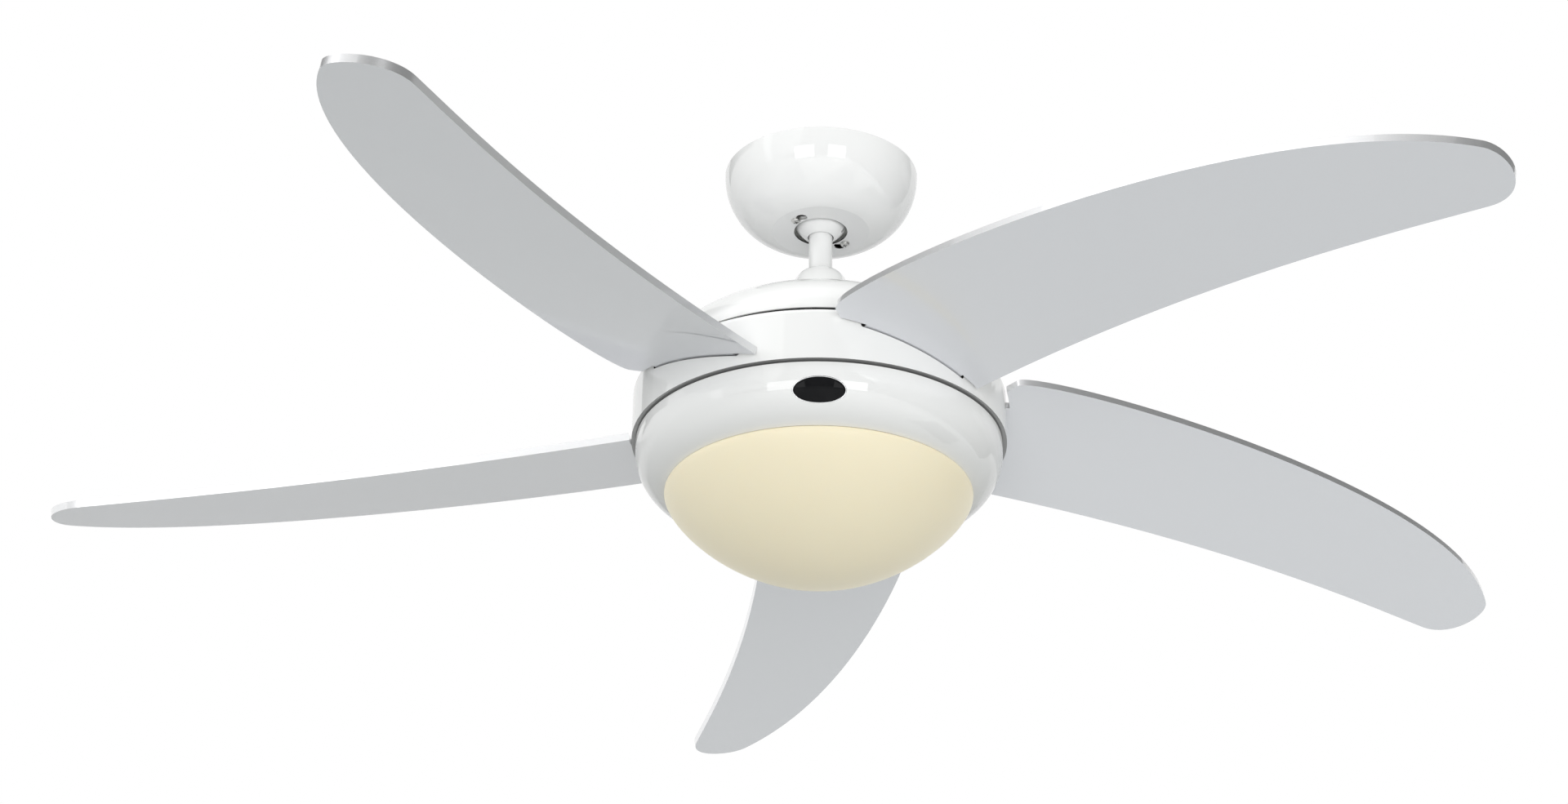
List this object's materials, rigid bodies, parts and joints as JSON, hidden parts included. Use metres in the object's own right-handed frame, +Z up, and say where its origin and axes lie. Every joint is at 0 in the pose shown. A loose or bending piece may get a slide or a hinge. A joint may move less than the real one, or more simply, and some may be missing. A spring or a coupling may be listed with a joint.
{
  "type": "ceiling fan with light",
  "caption": "White ceiling fan with swept silver blades, a short downrod on a ball hanger, an enclosed motor and a cream opal glass bowl light",
  "frame": {"origin": "middle of the two ceiling screw slots, in the plane of the ceiling", "axes": "+Z up into the ceiling along the fan's axis, +X along the line of the two ceiling screw slots, -Y towards the front of the light housing"},
  "size_m": [1.2443, 1.2422, 0.372],
  "materials": {
    "white_gloss": "gloss white enamel",
    "silver_lacquer": "smooth silver lacquer on fibreboard",
    "zinc_steel": "zinc plated",
    "black_plastic": "moulded",
    "cream_plastic": "moulded",
    "cast_metal": "die cast",
    "core_steel": "laminated",
    "copper": "enamelled copper wire",
    "bearing_steel": "ground",
    "opal_glass": "cream opal, frosted",
    "lamp_glass": "white opal",
    "socket_ceramic": "glazed"
  },
  "bodies": {
    "ceiling_mount": {"hanger_bracket": "zinc_steel", "canopy": "white_gloss", "canopy_screws": "zinc_steel", "terminal_block": "cream_plastic"},
    "suspension": {"hanger_ball": "white_gloss", "ball_pin": "zinc_steel", "ball_set_screw": "zinc_steel", "downrod": "white_gloss", "motor_coupling": "cast_metal", "clevis_pin": "zinc_steel", "hairpin_clip": "zinc_steel", "rod_set_screws": "zinc_steel", "coupling_cover": "white_gloss", "top_cover": "white_gloss", "cover_screws": "zinc_steel", "motor_shaft": "zinc_steel", "stator_core": "core_steel", "stator_coils": "copper", "bearing_inner_races": "bearing_steel", "bearing_balls": "bearing_steel", "light_plate": "zinc_steel", "shaft_nuts": "zinc_steel", "light_housing": "white_gloss", "housing_screws": "zinc_steel", "lamp_strap": "zinc_steel", "strap_screws": "zinc_steel", "lamp_socket_left": "socket_ceramic", "lamp_socket_right": "socket_ceramic", "bulb_left": "lamp_glass", "bulb_right": "lamp_glass", "capacitor": "black_plastic"},
    "rotor": {"rotor_shell": "white_gloss", "upper_bell": "cast_metal", "lower_bell": "cast_metal", "rotor_ring": "core_steel", "bearing_outer_races": "bearing_steel", "bell_screws": "zinc_steel", "shell_screws": "zinc_steel", "holder_screws": "zinc_steel", "blade_screws": "zinc_steel", "blade_1": "silver_lacquer", "blade_2": "silver_lacquer", "blade_3": "silver_lacquer", "blade_4": "silver_lacquer", "blade_5": "silver_lacquer", "blade_holder_1": "zinc_steel", "blade_holder_2": "zinc_steel", "blade_holder_3": "zinc_steel", "blade_holder_4": "zinc_steel", "blade_holder_5": "zinc_steel"},
    "glass": {"glass_bowl": "opal_glass"}
  },
  "joints": [
    {"name": "hanger_swing", "type": "hinge", "parent": "ceiling_mount", "child": "suspension", "pos_m": [0, 0, -0.0385], "axis": [0, 1, 0], "range_deg": [-15, 15]},
    {"name": "rotor_spin", "type": "hinge", "parent": "suspension", "child": "rotor", "pos_m": [0, 0, -0.236], "axis": [0, 0, 1], "continuous": true},
    {"name": "glass_twist", "type": "hinge", "parent": "suspension", "child": "glass", "pos_m": [0, 0, -0.3], "axis": [0, 0, 1], "range_deg": [0, 30]}
  ]
}
